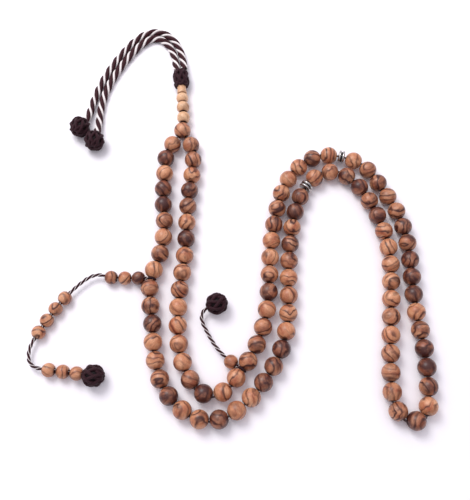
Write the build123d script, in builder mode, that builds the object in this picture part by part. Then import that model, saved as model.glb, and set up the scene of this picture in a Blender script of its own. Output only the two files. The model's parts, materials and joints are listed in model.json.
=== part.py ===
from build123d import *
import math
import os

# A string of one hundred wooden prayer beads lying on a table: one thread runs through three
# counted lengths of beads with a metal divider between them, both its ends pass up through a
# crown bead and a short neck into a bound knot, and two twisted tassel ropes leave that knot.
# Two shorter cords tied to the thread carry small sliding counter beads.
# Millimetres, +Z up, the table is at Z = 0, and the tassel lies towards +Y.

os.makedirs("parts", exist_ok=True)

# Driving dimensions
BEAD_DIAMETER = 8.0
BEAD_BORE = 2.0
BEAD_PITCH = 8.05
SMALL_BEAD_DIAMETER = 6.0
SMALL_BEAD_BORE = 2.3
SMALL_BEAD_PITCH = 6.1
BORE_CHAMFER = 0.2
CLEARANCE = 0.1

THREAD_DIAMETER = 0.9
THREAD_PAIR_SPACING = 1.1
THREAD_BEND_RADIUS = 1.2
THREAD_SHARP_TURN = 35.0
TURNING_ROUNDS = 6
CROTCH_HEIGHT = 1.0
NECK_BORE = 2.8
CROWN_SIDE_BORE = 2.4

DIVIDER_DIAMETER = 6.0
DIVIDER_THICKNESS = 2.2
DIVIDER_GROOVE_DEPTH = 0.7
DIVIDER_GROOVE_WIDTH = 0.6
DIVIDER_TO_BEAD = 6.0

COUNTER_CORD_DIAMETER = 1.6
COUNTER_KNOT_DIAMETER = 9.6
TIE_GAP = 0.6
TIE_WIDTH = 0.8
TIE_INNER_RADIUS = 1.15
TIE_OUTER_RADIUS = 2.1

ROPE_DIAMETER = 3.5
ROPE_KNOT_DIAMETER = 10.0
KNOT_SOCKET_FLOOR = 2.0

HEAD_KNOT_DIAMETER = 7.8
HEAD_KNOT_LENGTH = 9.4
HEAD_KNOT_END_DIAMETER = 6.4
COLLAR_TOP_DIAMETER = 4.3
COLLAR_FOOT_DIAMETER = 3.7
COLLAR_LENGTH = 5.3
COLLAR_INSERT = 1.4

BEAD_HEIGHT = BEAD_DIAMETER / 2

# The line that the strung beads lie on, from the crown bead down the left side, round the
# loop and back. Chosen by hand, X and Y.
STRAND_ROUTE = [
    (-46.8, 52.6), (-51.4, 44.8), (-54.3, 37.0), (-54.5, 28.8), (-54.8, 20.4), (-54.4, 12.4),
    (-53.6, 4.4), (-53.9, -3.7), (-55.3, -11.8), (-57.9, -19.9), (-58.9, -28.4), (-58.0, -36.4),
    (-56.9, -44.3), (-56.3, -52.2), (-54.8, -60.2), (-52.3, -68.0), (-47.9, -74.9), (-42.0, -80.2),
    (-34.9, -83.3), (-26.8, -82.7), (-19.6, -78.6), (-8.6, -66.6), (-1.2, -52.3), (1.3, -40.9),
    (2.2, -21.2), (3.4, -5.2), (6.2, 10.2), (9.1, 18.2), (16.4, 27.6), (24.3, 30.2),
    (31.6, 27.4), (36.7, 21.8), (43.7, 7.7), (47.5, -8.3), (47.2, -24.5), (45.5, -44.3),
    (43.8, -63.8), (43.7, -72.2), (45.4, -79.7), (51.6, -83.8), (57.5, -79.2), (58.9, -71.2),
    (58.8, -53.4), (57.0, -37.6), (56.6, -21.4), (56.1, -5.2), (52.4, 10.5), (45.0, 24.8),
    (40.3, 31.9), (33.4, 36.6), (22.2, 38.9), (14.3, 37.0), (8.1, 32.2), (3.0, 25.7),
    (-2.4, 10.2), (-5.3, -6.1), (-6.3, -21.9), (-9.7, -45.3), (-16.6, -60.1), (-21.6, -67.0),
    (-27.9, -72.7), (-35.3, -72.3), (-40.6, -66.2), (-43.9, -58.6), (-46.1, -42.3), (-45.6, -26.2),
    (-43.9, -10.6), (-43.4, 4.9), (-42.6, 20.7), (-41.3, 36.6), (-42.4, 44.3), (-46.8, 52.6),
]

# Beads along the strand, counted from the crown bead. The dividers follow beads 33 and 67, and
# the counter strings are tied between beads 9 and 10 and between beads 82 and 83.
BEAD_COUNT = 100
DIVIDER_AFTER = (33, 67)
TIE_AFTER = (9, 82)
CROWN_TO_FIRST_BEAD = 8.9
SINGLE_BEADS = (1, 9, 10, 17, 25, 33, 34, 42, 51, 59, 67, 68, 75, 82, 83, 91, 100)

# The neck, from the crown bead up to the head knot: centre and diameter of each bead.
CROWN = (-46.8, 52.6)
NECK_BEADS = [
    ((-46.5, 59.7), 6.2),
    ((-46.9, 65.6), 6.2),
    ((-47.4, 70.8), 5.8),
]
COLLAR_FOOT = (-47.65, 73.3)
HEAD_KNOT_FOOT = (-47.95, 77.2)

# Free cords, chosen by hand: X, Y, Z of each corner. The last corner is the middle of the knot.
INNER_ROPE_ROUTE = [
    (-50.6, 87.0, 4.0), (-51.5, 93.3, 2.6), (-53.0, 99.5, 1.75), (-55.9, 104.9, 1.75),
    (-60.2, 108.3, 1.75), (-65.1, 108.1, 1.75), (-70.0, 104.2, 1.75), (-75.0, 97.7, 1.75),
    (-79.7, 90.1, 1.75), (-83.7, 81.9, 1.75), (-86.4, 73.6, 1.75), (-87.7, 64.4, 1.8),
    (-87.6, 55.8, 2.2), (-88.6, 46.5, 5.0),
]
OUTER_ROPE_ROUTE = [
    (-46.8, 87.3, 4.0), (-47.7, 93.9, 2.6), (-49.4, 100.9, 1.75), (-52.9, 107.5, 1.75),
    (-59.0, 112.3, 1.75), (-66.5, 111.9, 1.75), (-72.8, 107.0, 1.75), (-78.2, 99.9, 1.75),
    (-83.1, 91.9, 1.75), (-87.3, 83.3, 1.75), (-90.2, 74.6, 1.75), (-92.0, 67.4, 1.8),
    (-93.0, 61.0, 2.1), (-96.1, 54.0, 5.0),
]
COUNTER_LEFT_ROUTE = [
    (-60.4, -22.3, 4.0), (-67.6, -21.9, 3.0), (-76.0, -22.0, 3.0), (-83.6, -19.6, 3.0),
    (-91.8, -26.0, 3.0), (-99.2, -35.2, 3.0), (-105.2, -45.2, 3.0), (-109.6, -53.6, 3.0),
    (-108.3, -61.2, 3.0), (-100.4, -62.7, 3.0), (-91.6, -63.7, 3.2), (-80.6, -65.4, 4.8),
]
COUNTER_RIGHT_ROUTE = [
    (-20.3, -61.35, 4.0), (-25.4, -57.7, 3.0), (-30.4, -52.0, 3.0), (-33.6, -46.2, 3.0),
    (-35.7, -42.2, 3.0), (-36.2, -38.9, 3.1), (-34.6, -36.2, 3.6), (-29.4, -34.2, 4.8),
]


def vector(point, height=0.0):
    """A point of two or three coordinates as a Vector; two coordinates get the height."""
    return Vector(*point) if len(point) == 3 else Vector(*point, height)


def step_along(route, start, distance):
    """The parameter of the next point of a route at a straight distance from the one at start."""
    here = route @ start
    low = start
    high = min(1.0, start + 3.0 * distance / route.length)
    for _ in range(40):
        middle = (low + high) / 2
        if (route @ middle - here).length < distance:
            low = middle
        else:
            high = middle
    return (low + high) / 2


def lying_plane(centre, along):
    """A plane with X along a bore and Y across it, so that a profile drawn on it can be turned."""
    across = Vector(-along.Y, along.X, 0).normalized()
    return Plane(origin=centre, x_dir=along, z_dir=along.cross(across))


def turned_solid(plane, profile):
    """Turn a profile of (along, radius) points, drawn on a plane, round that plane's X axis."""
    with BuildPart() as turned:
        with BuildSketch(plane):
            with BuildLine():
                Polyline(*profile, close=True)
            make_face()
        revolve(axis=Axis(plane.origin, plane.x_dir))
    return turned.part


def round_bead_length(diameter, bore):
    """How long a round bead is along its bore, between the rims of its two chamfers."""
    rim = bore / 2 + BORE_CHAMFER
    return 2 * math.sqrt((diameter / 2) ** 2 - rim**2)


def turned_bead(plane, diameter, bore):
    """Turn one bead: a round outside, a straight bore and a small chamfer at each end of it."""
    rim = bore / 2 + BORE_CHAMFER
    end = round_bead_length(diameter, bore) / 2
    with BuildPart() as bead:
        with BuildSketch(plane):
            with BuildLine():
                ThreePointArc((-end, rim), (0, diameter / 2), (end, rim))
                Polyline(
                    (end, rim),
                    (end - BORE_CHAMFER, bore / 2),
                    (BORE_CHAMFER - end, bore / 2),
                    (-end, rim),
                )
            make_face()
        revolve(axis=Axis(plane.origin, plane.x_dir))
    return bead.part


def turned_ball(plane, diameter):
    """Turn a plain round ball about a plane's X axis."""
    radius = diameter / 2
    with BuildPart() as ball:
        with BuildSketch(plane):
            with BuildLine():
                ThreePointArc((-radius, 0), (0, radius), (radius, 0))
                Line((radius, 0), (-radius, 0))
            make_face()
        revolve(axis=Axis(plane.origin, plane.x_dir))
    return ball.part


def corner_radii(points):
    """The radius of each corner of a cord: as large as its two runs allow."""
    radii = []
    for before, corner, after in zip(points, points[1:], points[2:]):
        shorter = min((corner - before).length, (after - corner).length)
        turn = math.radians((corner - before).get_angle(after - corner))
        radii.append(0.45 * shorter / math.tan(turn / 2))
    return radii


def without_straight_corners(points, least_turn=0.3):
    """Leave out the corners of a path that turn it by next to nothing, in degrees."""
    kept = [points[0]]
    for corner, after in zip(points[1:], points[2:]):
        if (corner - kept[-1]).get_angle(after - corner) > least_turn:
            kept.append(corner)
    return kept + [points[-1]]


def swept_cord(path, diameter):
    """Sweep a round section along a cord's centre line."""
    with BuildPart() as cord:
        with BuildSketch(Plane(origin=path @ 0, z_dir=path % 0)):
            Circle(diameter / 2)
        sweep(path=path)
    return cord.part


def finish(part, name):
    """Name a finished sub-part and write it to its own file."""
    part.label = name
    export_step(part, f"parts/{name}.step")


def report_cord(name, part, path, diameter):
    """Print a cord's length, its arcs' radii and how its volume compares with its path."""
    expected = path.length * math.pi * diameter**2 / 4
    arcs = path.edges().filter_by(GeomType.CIRCLE)
    radii = ", ".join(f"{radius:.1f}" for radius in sorted({round(arc.radius, 1) for arc in arcs}))
    print(f"{name}: length {path.length:.1f}, volume ratio {part.volume / expected:.4f}, radii {radii}")


# Places of the beads and dividers along the strand

with BuildLine() as strand_line:
    Spline(*[vector(point, BEAD_HEIGHT) for point in STRAND_ROUTE])
strand = strand_line.edge()

bead_length = round_bead_length(BEAD_DIAMETER, BEAD_BORE)
strung = [("crown", 0)]
spacings = []
for number in range(1, BEAD_COUNT + 1):
    if number == 1:
        spacings.append(CROWN_TO_FIRST_BEAD)
    elif number - 1 in DIVIDER_AFTER:
        spacings.append(DIVIDER_TO_BEAD)
    elif number - 1 in TIE_AFTER:
        spacings.append(BEAD_PITCH + TIE_GAP)
    else:
        spacings.append(BEAD_PITCH)
    strung.append(("bead", number))
    if number in DIVIDER_AFTER:
        spacings.append(DIVIDER_TO_BEAD)
        strung.append(("divider", number))

centres = [strand @ 0]
parameter = 0.0
for spacing in spacings:
    parameter = step_along(strand, parameter, spacing)
    centres.append(strand @ parameter)
centres.append(strand @ 1)

# The tight thread turns each piece until its bore faces the bores before and after it.
reaches = [DIVIDER_THICKNESS / 2 if kind == "divider" else bead_length / 2 for kind, _ in strung]
reaches += [bead_length / 2]
axes = [(after - before).normalized() for before, after in zip(centres, centres[1:])]
axes.append(axes[-1])
for _ in range(TURNING_ROUNDS):
    for index in range(1, len(strung)):
        way_in = centres[index - 1] + axes[index - 1] * reaches[index - 1]
        way_out = centres[index + 1] - axes[index + 1] * reaches[index + 1]
        axes[index] = (way_out - way_in).normalized()
planes = {
    piece: lying_plane(centre, along)
    for piece, centre, along in zip(strung[1:], centres[1:], axes[1:])
}

# Main beads: a node for each single bead and one for each run of beads between them

groups = []
for number in range(1, BEAD_COUNT + 1):
    if number in SINGLE_BEADS or number - 1 in SINGLE_BEADS:
        groups.append([number])
    else:
        groups[-1].append(number)

for group in groups:
    turned = [turned_bead(planes["bead", number], BEAD_DIAMETER, BEAD_BORE) for number in group]
    with BuildPart() as beads:
        add(turned)
    if len(group) == 1:
        finish(beads.part, f"bead_{group[0]:03d}")
    else:
        finish(beads.part, f"beads_{group[0]:03d}_to_{group[-1]:03d}")

# Metal dividers: a round spacer with a groove turned round the middle of its rim

divider_end = DIVIDER_THICKNESS / 2
divider_radius = DIVIDER_DIAMETER / 2
divider_profile = [
    (-divider_end, BEAD_BORE / 2),
    (-divider_end, divider_radius - 0.5),
    (-divider_end + 0.25, divider_radius - 0.1),
    (-DIVIDER_GROOVE_WIDTH / 2 - 0.25, divider_radius),
    (-DIVIDER_GROOVE_WIDTH / 2, divider_radius - DIVIDER_GROOVE_DEPTH),
    (DIVIDER_GROOVE_WIDTH / 2, divider_radius - DIVIDER_GROOVE_DEPTH),
    (DIVIDER_GROOVE_WIDTH / 2 + 0.25, divider_radius),
    (divider_end - 0.25, divider_radius - 0.1),
    (divider_end, divider_radius - 0.5),
    (divider_end, BEAD_BORE / 2),
]
for side, number in zip(("left", "right"), DIVIDER_AFTER):
    finish(turned_solid(planes["divider", number], divider_profile), f"divider_{side}")

# Neck: small beads over the crown bead, a collar and the bound head knot

neck_centres = [vector(place, BEAD_HEIGHT) for place, _ in NECK_BEADS]
neck_lengths = [round_bead_length(diameter, NECK_BORE) for _, diameter in NECK_BEADS]
collar_foot = vector(COLLAR_FOOT, BEAD_HEIGHT)
knot_foot = vector(HEAD_KNOT_FOOT, BEAD_HEIGHT)
crown_centre = vector(CROWN, BEAD_HEIGHT)
neck_stations = [crown_centre, *neck_centres, collar_foot]
neck_planes = []
for index, (_, diameter) in enumerate(NECK_BEADS, start=1):
    along = (neck_stations[index + 1] - neck_stations[index - 1]).normalized()
    neck_planes.append(lying_plane(neck_stations[index], along))
    finish(turned_bead(neck_planes[-1], diameter, NECK_BORE), f"neck_bead_{index}")

neck_up = (knot_foot - collar_foot).normalized()
collar_plane = lying_plane(collar_foot, neck_up)
collar_profile = [
    (0, NECK_BORE / 2),
    (0, COLLAR_FOOT_DIAMETER / 2),
    (COLLAR_LENGTH, COLLAR_TOP_DIAMETER / 2),
    (COLLAR_LENGTH, NECK_BORE / 2),
]
finish(turned_solid(collar_plane, collar_profile), "neck_collar")

knot_plane = lying_plane(knot_foot, neck_up)
recess_depth = COLLAR_INSERT + CLEARANCE
recess_radius = COLLAR_TOP_DIAMETER / 2 + CLEARANCE
thread_socket_depth = recess_depth + 3.0
with BuildPart() as head_knot:
    with BuildSketch(knot_plane):
        with BuildLine():
            ThreePointArc(
                (0, HEAD_KNOT_END_DIAMETER / 2),
                (HEAD_KNOT_LENGTH / 2, HEAD_KNOT_DIAMETER / 2),
                (HEAD_KNOT_LENGTH, HEAD_KNOT_END_DIAMETER / 2),
            )
            Polyline(
                (HEAD_KNOT_LENGTH, HEAD_KNOT_END_DIAMETER / 2),
                (HEAD_KNOT_LENGTH, 0),
                (thread_socket_depth, 0),
                (thread_socket_depth, NECK_BORE / 2),
                (recess_depth, NECK_BORE / 2),
                (recess_depth, recess_radius),
                (0, recess_radius),
                (0, HEAD_KNOT_END_DIAMETER / 2),
            )
        make_face()
    revolve(axis=Axis(knot_plane.origin, knot_plane.x_dir))
finish(head_knot.part, "head_knot")

# Crown bead: two slanting bores for the two sides of the strand meet one wide bore to the neck

crown_up = (neck_centres[0] - crown_centre).normalized()
crown_plane = lying_plane(crown_centre, crown_up)
side_directions = {
    -1: (centres[1] - crown_centre).normalized(),
    1: (centres[-2] - crown_centre).normalized(),
}
crown_ball = turned_ball(crown_plane, BEAD_DIAMETER)
with BuildPart() as crown_bead:
    add(crown_ball)
    with BuildSketch(Plane(origin=crown_centre, z_dir=crown_up)):
        Circle(NECK_BORE / 2)
    extrude(amount=BEAD_DIAMETER, mode=Mode.SUBTRACT)
    for direction in side_directions.values():
        with BuildSketch(Plane(origin=crown_centre, z_dir=direction)):
            Circle(CROWN_SIDE_BORE / 2)
        extrude(amount=BEAD_DIAMETER, mode=Mode.SUBTRACT)
finish(crown_bead.part, "crown_bead")

# Main thread: from the head knot down the neck, round the whole strand and back beside itself


def bore_ends(plane, reach, shift=0.0):
    """The two ends of a straight bore, shifted sideways when two threads share it."""
    return (
        plane.from_local_coords(Vector(-reach, shift, 0)),
        plane.from_local_coords(Vector(reach, shift, 0)),
    )


def neck_bores(side):
    """The thread's way in and out of each bore, from the head knot down to the strand."""
    shift = -side * THREAD_PAIR_SPACING / 2
    top = knot_plane.from_local_coords(Vector(thread_socket_depth - 0.2, shift, 0))
    ways = [(top, collar_plane.from_local_coords(Vector(0, shift, 0)))]
    for plane, length in reversed(list(zip(neck_planes, neck_lengths))):
        foot, head = bore_ends(plane, length / 2, shift)
        ways.append((head, foot))
    crotch = crown_plane.from_local_coords(Vector(CROTCH_HEIGHT, shift, 0))
    ways.append((crown_plane.from_local_coords(Vector(BEAD_DIAMETER / 2, shift, 0)), crotch))
    ways.append((crotch, crown_centre + side_directions[side] * BEAD_DIAMETER / 2))
    return ways


ways = neck_bores(-1)
for kind, number in strung[1:]:
    reach = bead_length / 2 if kind == "bead" else DIVIDER_THICKNESS / 2
    ways.append(bore_ends(planes[kind, number], reach))
ways += [(way_out, way_in) for way_in, way_out in reversed(neck_bores(1))]

# The thread is straight inside each bore. It bends in the gap before the next one: once in the
# middle of the gap, or at both its ends where it turns sharply.
thread_corners = [ways[0][0]]
for here, following in zip(ways, ways[1:]):
    if (here[1] - here[0]).get_angle(following[1] - following[0]) > THREAD_SHARP_TURN:
        thread_corners += [here[1], following[0]]
    else:
        thread_corners.append((here[1] + following[0]) / 2)
thread_corners.append(ways[-1][1])
thread_corners = without_straight_corners(thread_corners)
bend_radii = [min(THREAD_BEND_RADIUS, radius) for radius in corner_radii(thread_corners)]
with BuildLine() as thread_line:
    FilletPolyline(*thread_corners, radius=bend_radii)
thread_path = thread_line.wire()
main_thread = swept_cord(thread_path, THREAD_DIAMETER)
finish(main_thread, "main_thread")
report_cord("main_thread", main_thread, thread_path, THREAD_DIAMETER)

# Ties: the counter cord is wound round the main thread, in the gap between two beads

tie_end = TIE_WIDTH / 2
tie_profile = [
    (-tie_end, TIE_INNER_RADIUS),
    (-tie_end, TIE_OUTER_RADIUS - 0.3),
    (-tie_end + 0.25, TIE_OUTER_RADIUS),
    (tie_end - 0.25, TIE_OUTER_RADIUS),
    (tie_end, TIE_OUTER_RADIUS - 0.3),
    (tie_end, TIE_INNER_RADIUS),
]
for side, number in zip(("left", "right"), TIE_AFTER):
    before = planes["bead", number].origin
    after = planes["bead", number + 1].origin
    tie_plane = lying_plane((before + after) / 2, (after - before).normalized())
    finish(turned_solid(tie_plane, tie_profile), f"counter_tie_{side}")


def free_cord(route, knot_diameter, cord_diameter, name, knot_name):
    """Make a free cord and the ball knot that it ends in; its centre line is returned."""
    points = [vector(point) for point in route]
    knot_centre = points[-1]
    back = (points[-2] - knot_centre).normalized()
    points[-1] = knot_centre + back * (KNOT_SOCKET_FLOOR + CLEARANCE)
    with BuildLine() as line:
        FilletPolyline(*points, radius=corner_radii(points))
    path = line.wire()
    cord = swept_cord(path, cord_diameter)
    finish(cord, name)
    report_cord(name, cord, path, cord_diameter)
    ball = turned_ball(lying_plane(knot_centre, back), knot_diameter)
    with BuildPart() as knot:
        add(ball)
        with BuildSketch(Plane(origin=knot_centre + back * KNOT_SOCKET_FLOOR, z_dir=back)):
            Circle(cord_diameter / 2 + CLEARANCE)
        extrude(amount=knot_diameter, mode=Mode.SUBTRACT)
    finish(knot.part, knot_name)
    return path


free_cord(INNER_ROPE_ROUTE, ROPE_KNOT_DIAMETER, ROPE_DIAMETER, "tassel_rope_inner", "tassel_knot_inner")
free_cord(OUTER_ROPE_ROUTE, ROPE_KNOT_DIAMETER, ROPE_DIAMETER, "tassel_rope_outer", "tassel_knot_outer")
counter_left = free_cord(
    COUNTER_LEFT_ROUTE,
    COUNTER_KNOT_DIAMETER,
    COUNTER_CORD_DIAMETER,
    "counter_cord_left",
    "counter_knot_left",
)
counter_right = free_cord(
    COUNTER_RIGHT_ROUTE,
    COUNTER_KNOT_DIAMETER,
    COUNTER_CORD_DIAMETER,
    "counter_cord_right",
    "counter_knot_right",
)

# Counter beads, threaded on the two free cords in three groups and a single one

COUNTER_GROUPS = [
    (counter_left, 3.8, 3),
    (counter_left, 40.0, 4),
    (counter_left, 81.4, 3),
    (counter_right, 3.65, 1),
]
counter_number = 0
counter_planes = []
for cord, first, count in COUNTER_GROUPS:
    for position in range(count):
        counter_number += 1
        distance = first + position * SMALL_BEAD_PITCH
        place = cord.position_at(distance, position_mode=PositionMode.LENGTH)
        along = cord.tangent_at(distance, position_mode=PositionMode.LENGTH)
        counter_plane = lying_plane(place, along)
        counter_planes.append(counter_plane)
        counter_bead = turned_bead(counter_plane, SMALL_BEAD_DIAMETER, SMALL_BEAD_BORE)
        finish(counter_bead, f"counter_bead_{counter_number:02d}")
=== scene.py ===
"""The looks of a string of wooden prayer beads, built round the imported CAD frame."""

import json
import logging
import math
import random
from dataclasses import dataclass
from enum import Enum
from typing import Optional, Sequence, Union

import bmesh
import bpy
import numpy as np
from mathutils import Matrix, Quaternion, Vector


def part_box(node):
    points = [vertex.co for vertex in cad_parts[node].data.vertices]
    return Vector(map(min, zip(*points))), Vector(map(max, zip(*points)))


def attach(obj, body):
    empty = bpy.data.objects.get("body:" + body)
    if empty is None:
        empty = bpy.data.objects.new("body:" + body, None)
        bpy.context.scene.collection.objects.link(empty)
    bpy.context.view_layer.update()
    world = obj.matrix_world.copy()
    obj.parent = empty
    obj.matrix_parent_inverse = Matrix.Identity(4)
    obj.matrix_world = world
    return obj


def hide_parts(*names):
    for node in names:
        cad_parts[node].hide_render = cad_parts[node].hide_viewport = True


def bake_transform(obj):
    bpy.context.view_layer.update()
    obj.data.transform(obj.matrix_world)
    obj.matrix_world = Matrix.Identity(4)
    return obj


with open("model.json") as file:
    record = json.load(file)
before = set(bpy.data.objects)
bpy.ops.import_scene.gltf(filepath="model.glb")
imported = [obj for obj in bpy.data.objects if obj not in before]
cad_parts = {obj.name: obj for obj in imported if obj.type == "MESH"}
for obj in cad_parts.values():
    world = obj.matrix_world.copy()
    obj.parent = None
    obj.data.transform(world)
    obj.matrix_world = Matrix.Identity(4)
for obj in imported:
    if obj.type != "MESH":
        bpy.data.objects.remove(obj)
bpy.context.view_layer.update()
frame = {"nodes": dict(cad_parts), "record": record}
BODY_OF = {
    node: body
    for body, nodes in frame["record"]["behaviour"]["bodies"].items()
    for node in nodes
}
LOG = logging.getLogger("prayer_beads")
MM = 0.001

# The corners of the free cords' routes, in metres. Each route ends in the middle of its knot.
INNER_ROPE_ROUTE = [
    (-0.0506, 0.0870, 0.00400), (-0.0515, 0.0933, 0.00260), (-0.0530, 0.0995, 0.00175),
    (-0.0559, 0.1049, 0.00175), (-0.0602, 0.1083, 0.00175), (-0.0651, 0.1081, 0.00175),
    (-0.0700, 0.1042, 0.00175), (-0.0750, 0.0977, 0.00175), (-0.0797, 0.0901, 0.00175),
    (-0.0837, 0.0819, 0.00175), (-0.0864, 0.0736, 0.00175), (-0.0877, 0.0644, 0.00180),
    (-0.0876, 0.0558, 0.00220), (-0.0886, 0.0465, 0.00500),
]
OUTER_ROPE_ROUTE = [
    (-0.0468, 0.0873, 0.00400), (-0.0477, 0.0939, 0.00260), (-0.0494, 0.1009, 0.00175),
    (-0.0529, 0.1075, 0.00175), (-0.0590, 0.1123, 0.00175), (-0.0665, 0.1119, 0.00175),
    (-0.0728, 0.1070, 0.00175), (-0.0782, 0.0999, 0.00175), (-0.0831, 0.0919, 0.00175),
    (-0.0873, 0.0833, 0.00175), (-0.0902, 0.0746, 0.00175), (-0.0920, 0.0674, 0.00180),
    (-0.0930, 0.0610, 0.00210), (-0.0961, 0.0540, 0.00500),
]
COUNTER_LEFT_ROUTE = [
    (-0.0604, -0.0223, 0.0040), (-0.0676, -0.0219, 0.0030), (-0.0760, -0.0220, 0.0030),
    (-0.0836, -0.0196, 0.0030), (-0.0918, -0.0260, 0.0030), (-0.0992, -0.0352, 0.0030),
    (-0.1052, -0.0452, 0.0030), (-0.1096, -0.0536, 0.0030), (-0.1083, -0.0612, 0.0030),
    (-0.1004, -0.0627, 0.0030), (-0.0916, -0.0637, 0.0032), (-0.0806, -0.0654, 0.0048),
]
COUNTER_RIGHT_ROUTE = [
    (-0.0203, -0.06135, 0.0040), (-0.0254, -0.0577, 0.0030), (-0.0304, -0.0520, 0.0030),
    (-0.0336, -0.0462, 0.0030), (-0.0357, -0.0422, 0.0030), (-0.0362, -0.0389, 0.0031),
    (-0.0346, -0.0362, 0.0036), (-0.0294, -0.0342, 0.0048),
]
KNOT_SOCKET = 2.1 * MM  # how far from a knot's middle its cord ends

WAVE_TURN = math.tau / 20  # the scale at which a wave texture repeats once in one unit

# What the grain of each kind of piece is drawn from.
TURN_SEEDS = 1000
CROWN_SEED = 501
NECK_SEEDS = 600
COLLAR_SEED = 611
COUNTER_SEEDS = 700

BEAD_RIM = 0.25 * MM  # how wide the softened rim of a bore is
RIM_SHADE_FADE = 0.7 * MM  # how far the painted shade round a bore fades out beyond its rim
SMOOTH_BELOW = math.radians(45)


# ---------------------------------------------------------------- shared tools


def linear_colour(code: str) -> tuple[float, float, float, float]:
    """Turn an sRGB hex value into Blender's linear colour.

    Args:
        code: The colour, such as "#C99A6B".

    Returns:
        Red, green, blue and an alpha of one.
    """
    channels = [int(code[place : place + 2], 16) / 255 for place in (1, 3, 5)]
    red, green, blue = (c / 12.92 if c <= 0.04045 else ((c + 0.055) / 1.055) ** 2.4 for c in channels)
    return red, green, blue, 1.0


def add_node(
    tree: bpy.types.NodeTree,
    kind: str,
    settings: Optional[dict] = None,
    inputs: Optional[dict] = None,
    stops: Sequence[tuple[float, str]] = (),
) -> bpy.types.Node:
    """Add one shader node.

    Args:
        tree: The material's node tree.
        kind: The node's type without its ShaderNode prefix.
        settings: Properties to set on the node.
        inputs: Values for its sockets, or output sockets to link to them.
        stops: Positions and hex colours of a colour ramp.

    Returns:
        The new node.
    """
    node = tree.nodes.new("ShaderNode" + kind)
    for name, value in (settings or {}).items():
        setattr(node, name, value)
    for socket, value in (inputs or {}).items():
        if isinstance(value, bpy.types.NodeSocket):
            tree.links.new(value, node.inputs[socket])
        else:
            node.inputs[socket].default_value = value
    for index, (position, code) in enumerate(stops):
        if index < 2:
            element = node.color_ramp.elements[index]
            element.position = position
        else:
            element = node.color_ramp.elements.new(position)
        element.color = linear_colour(code)
    return node


def start_material(name: str, **values: Union[float, tuple]) -> tuple[bpy.types.Material, bpy.types.Node]:
    """Start a material with its Principled shader.

    Args:
        name: The material's name.
        **values: Constants for the shader's sockets, with _ for a space in the socket's name.

    Returns:
        The material and its shader node.
    """
    material = bpy.data.materials.new(name)
    material.use_nodes = True
    shader = material.node_tree.nodes["Principled BSDF"]
    for socket, value in values.items():
        shader.inputs[socket.replace("_", " ")].default_value = value
    return material, shader


def mix_colours(
    tree: bpy.types.NodeTree,
    share: Union[float, bpy.types.NodeSocket],
    under: bpy.types.NodeSocket,
    over: Union[str, bpy.types.NodeSocket],
    blend: str = "MIX",
) -> bpy.types.NodeSocket:
    """Lay one colour over another.

    Args:
        tree: The material's node tree.
        share: How much of the upper colour shows.
        under: The lower colour.
        over: The upper colour, as a socket or a hex value.
        blend: How the upper colour is laid on.

    Returns:
        The mixed colour.
    """
    upper = linear_colour(over) if isinstance(over, str) else over
    settings = {"data_type": "RGBA", "blend_type": blend}
    return add_node(tree, "Mix", settings, {0: share, 6: under, 7: upper}).outputs[2]


def noise(
    tree: bpy.types.NodeTree,
    place: bpy.types.NodeSocket,
    scale: float,
    detail: float = 2.0,
    roughness: float = 0.5,
) -> bpy.types.NodeSocket:
    """Make cloudy noise.

    Args:
        tree: The material's node tree.
        place: Where the noise is read.
        scale: How many clouds there are in one unit.
        detail: How many finer clouds are added.
        roughness: How strong the finer clouds are.

    Returns:
        The noise, from 0 to 1.
    """
    inputs = {"Vector": place, "Scale": scale, "Detail": detail, "Roughness": roughness}
    return add_node(tree, "TexNoise", None, inputs).outputs["Fac"]


def remap(
    tree: bpy.types.NodeTree,
    value: bpy.types.NodeSocket,
    given: tuple[float, float],
    wanted: tuple[float, float],
) -> bpy.types.NodeSocket:
    """Map one range of a value onto another.

    Args:
        tree: The node tree.
        value: The value.
        given: The range that it is read over.
        wanted: The range that comes out.

    Returns:
        The mapped value.
    """
    inputs = {
        "Value": value, "From Min": given[0], "From Max": given[1],
        "To Min": wanted[0], "To Max": wanted[1],
    }
    return add_node(tree, "MapRange", None, inputs).outputs["Result"]


def ramp(
    tree: bpy.types.NodeTree, value: bpy.types.NodeSocket, *stops: tuple[float, str]
) -> bpy.types.NodeSocket:
    """Colour a value by a ramp of hex colours.

    Args:
        tree: The material's node tree.
        value: What the ramp reads.
        *stops: Each stop's position and colour, the two outer ones first.

    Returns:
        The colour.
    """
    return add_node(tree, "ValToRGB", None, {"Fac": value}, stops).outputs["Color"]


def finish_surface(
    tree: bpy.types.NodeTree,
    shader: bpy.types.Node,
    colour: bpy.types.NodeSocket,
    height: bpy.types.NodeSocket,
    strength: float,
    depth: float,
) -> None:
    """Give a shader its colour and its relief.

    Args:
        tree: The material's node tree.
        shader: The Principled shader.
        colour: The base colour.
        height: The height map.
        strength: How strongly the relief shows.
        depth: How deep it is, in metres.
    """
    tree.links.new(colour, shader.inputs["Base Color"])
    inputs = {"Height": height, "Strength": strength, "Distance": depth}
    relief = add_node(tree, "Bump", None, inputs).outputs["Normal"]
    tree.links.new(relief, shader.inputs["Normal"])


def link_piece(name: str, mesh: bpy.types.Mesh, *materials: bpy.types.Material) -> bpy.types.Object:
    """Make an object of a finished mesh and put it in the scene.

    Args:
        name: The piece's name.
        mesh: Its mesh, with its place in its points.
        *materials: What it is finished in, one for each slot.

    Returns:
        The new object.
    """
    mesh.name = name
    for material in materials:
        mesh.materials.append(material)
    piece = bpy.data.objects.new(name, mesh)
    bpy.context.scene.collection.objects.link(piece)
    return piece


def settle(piece: bpy.types.Object, node: str) -> bpy.types.Object:
    """Put a piece on its CAD node's body, in place of that node.

    Args:
        piece: The finished piece.
        node: The CAD node that it stands for.

    Returns:
        The same piece.
    """
    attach(piece, BODY_OF[node])
    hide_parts(node)
    LOG.info("%s: %d faces on %s", piece.name, len(piece.data.polygons), BODY_OF[node])
    return piece


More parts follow.
